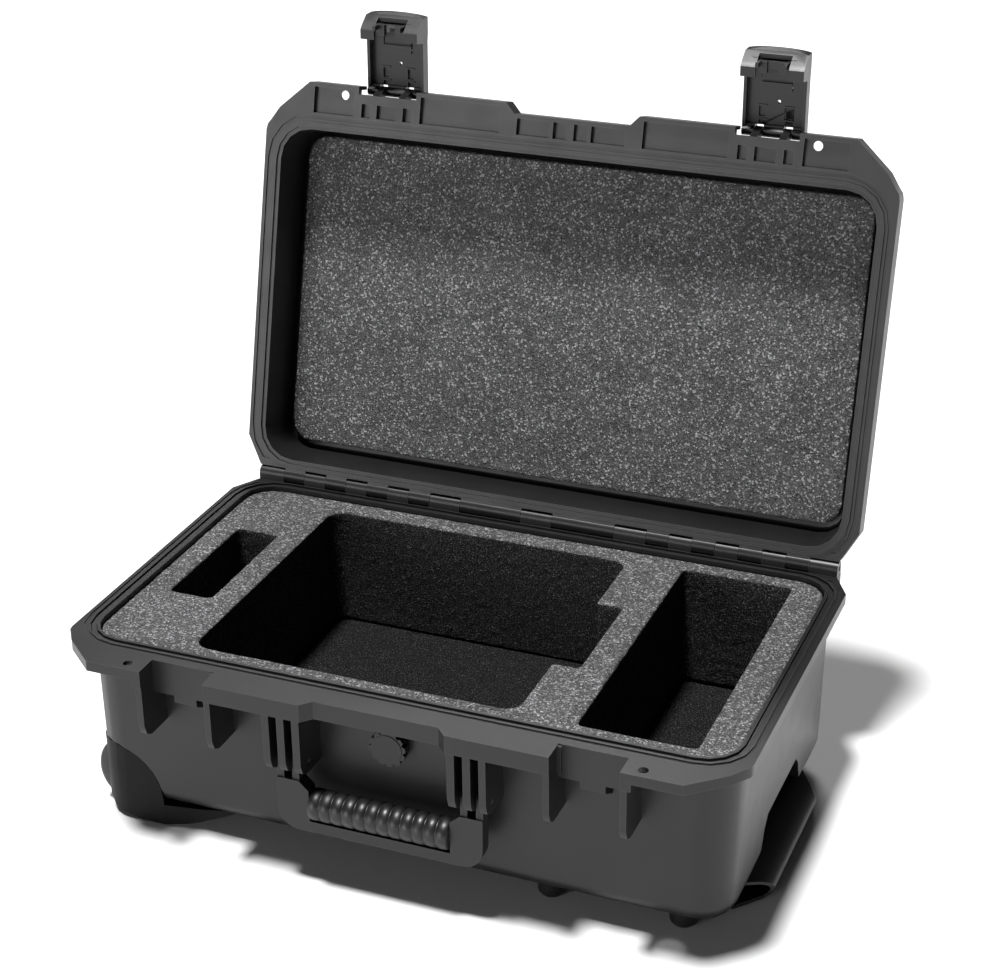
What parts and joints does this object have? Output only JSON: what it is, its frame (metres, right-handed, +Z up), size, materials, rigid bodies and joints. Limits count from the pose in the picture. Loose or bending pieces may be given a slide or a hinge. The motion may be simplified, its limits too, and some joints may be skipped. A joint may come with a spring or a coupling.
{
  "type": "wheeled carrying case",
  "caption": "Open wheeled hard case with cut foam, a hinged lid, press latches, a swinging front handle and a telescoping pull handle.",
  "frame": {"origin": "on the floor under the middle of the base, at the flat pad under the case", "axes": "+X towards the pull handle, -Y towards the latches and front handle, +Z up"},
  "size_m": [0.5525, 0.4562, 0.5669],
  "materials": {
    "case_plastic": "fine-textured moulded black plastic",
    "housing_plastic": "darker satin moulded plastic",
    "latch_plastic": "glass-filled moulded plastic",
    "handle_plastic": "smooth moulded plastic",
    "foam": "cut charcoal polyurethane foam with light and dark specks",
    "rubber": "soft black rubber",
    "tyre": "black polyurethane tread",
    "tube_alloy": "anodised tube",
    "steel": "stainless pin"
  },
  "bodies": {
    "base": {"base_shell": "case_plastic", "o_ring": "rubber", "foam_floor_pad": "foam", "foam_insert": "foam", "valve_body": "latch_plastic", "valve_cap": "latch_plastic", "trolley_cover": "housing_plastic", "lid_hinge_pin_left": "steel", "lid_hinge_pin_right": "steel", "handle_pin_left": "steel", "handle_pin_right": "steel", "wheel_housing_front": "housing_plastic", "wheel_axle_front": "steel", "tube_sleeve_front": "tube_alloy", "foot_front_1": "rubber", "foot_front_2": "rubber", "wheel_housing_rear": "housing_plastic", "wheel_axle_rear": "steel", "tube_sleeve_rear": "tube_alloy", "foot_rear_1": "rubber", "foot_rear_2": "rubber"},
    "lid": {"lid_shell": "case_plastic", "lid_foam": "foam", "latch_pin_left": "steel", "latch_pin_right": "steel"},
    "left_latch": {"latch_body_left": "latch_plastic", "trigger_pin_left": "steel", "trigger_spring_left": "steel"},
    "left_trigger": {"trigger_left": "latch_plastic"},
    "right_latch": {"latch_body_right": "latch_plastic", "trigger_pin_right": "steel", "trigger_spring_right": "steel"},
    "right_trigger": {"trigger_right": "latch_plastic"},
    "front_handle": {"handle_frame": "handle_plastic", "handle_grip": "rubber"},
    "pull_handle": {"pull_grip": "handle_plastic", "pull_tube_front": "tube_alloy", "pull_tube_rear": "tube_alloy", "tube_plug_front": "handle_plastic", "tube_plug_rear": "handle_plastic"},
    "front_wheel": {"tyre_front": "tyre", "hub_front": "housing_plastic"},
    "rear_wheel": {"tyre_rear": "tyre", "hub_rear": "housing_plastic"}
  },
  "joints": [
    {"name": "lid_hinge", "type": "hinge", "parent": "base", "child": "lid", "pos_m": [0, 0.16, 0.1697], "axis": [1, 0, 0], "range_deg": [0, 103.3]},
    {"name": "left_latch_hinge", "type": "hinge", "parent": "lid", "child": "left_latch", "pos_m": [-0.1645, 0.25386, 0.49894], "axis": [1, 0, 0], "range_deg": [0, 77]},
    {"name": "left_trigger_press", "type": "hinge", "parent": "left_latch", "child": "left_trigger", "pos_m": [-0.1645, 0.25516, 0.55593], "axis": [1, 0, 0], "range_deg": [-9, 0], "stiffness_Nm_per_rad": 0.6, "springref_deg": 2.86},
    {"name": "right_latch_hinge", "type": "hinge", "parent": "lid", "child": "right_latch", "pos_m": [0.1645, 0.25386, 0.49894], "axis": [1, 0, 0], "range_deg": [0, 77]},
    {"name": "right_trigger_press", "type": "hinge", "parent": "right_latch", "child": "right_trigger", "pos_m": [0.1645, 0.25516, 0.55593], "axis": [1, 0, 0], "range_deg": [-9, 0], "stiffness_Nm_per_rad": 0.6, "springref_deg": 2.86},
    {"name": "front_handle_hinge", "type": "hinge", "parent": "base", "child": "front_handle", "pos_m": [0, -0.17, 0.107], "axis": [1, 0, 0], "range_deg": [-95, 0]},
    {"name": "pull_handle_slide", "type": "slide", "parent": "base", "child": "pull_handle", "axis": [1, 0, 0], "range_m": [0, 0.36]},
    {"name": "front_wheel_spin", "type": "hinge", "parent": "base", "child": "front_wheel", "pos_m": [-0.24, -0.116, 0.031], "axis": [0, 1, 0], "continuous": true},
    {"name": "rear_wheel_spin", "type": "hinge", "parent": "base", "child": "rear_wheel", "pos_m": [-0.24, 0.116, 0.031], "axis": [0, 1, 0], "continuous": true}
  ]
}
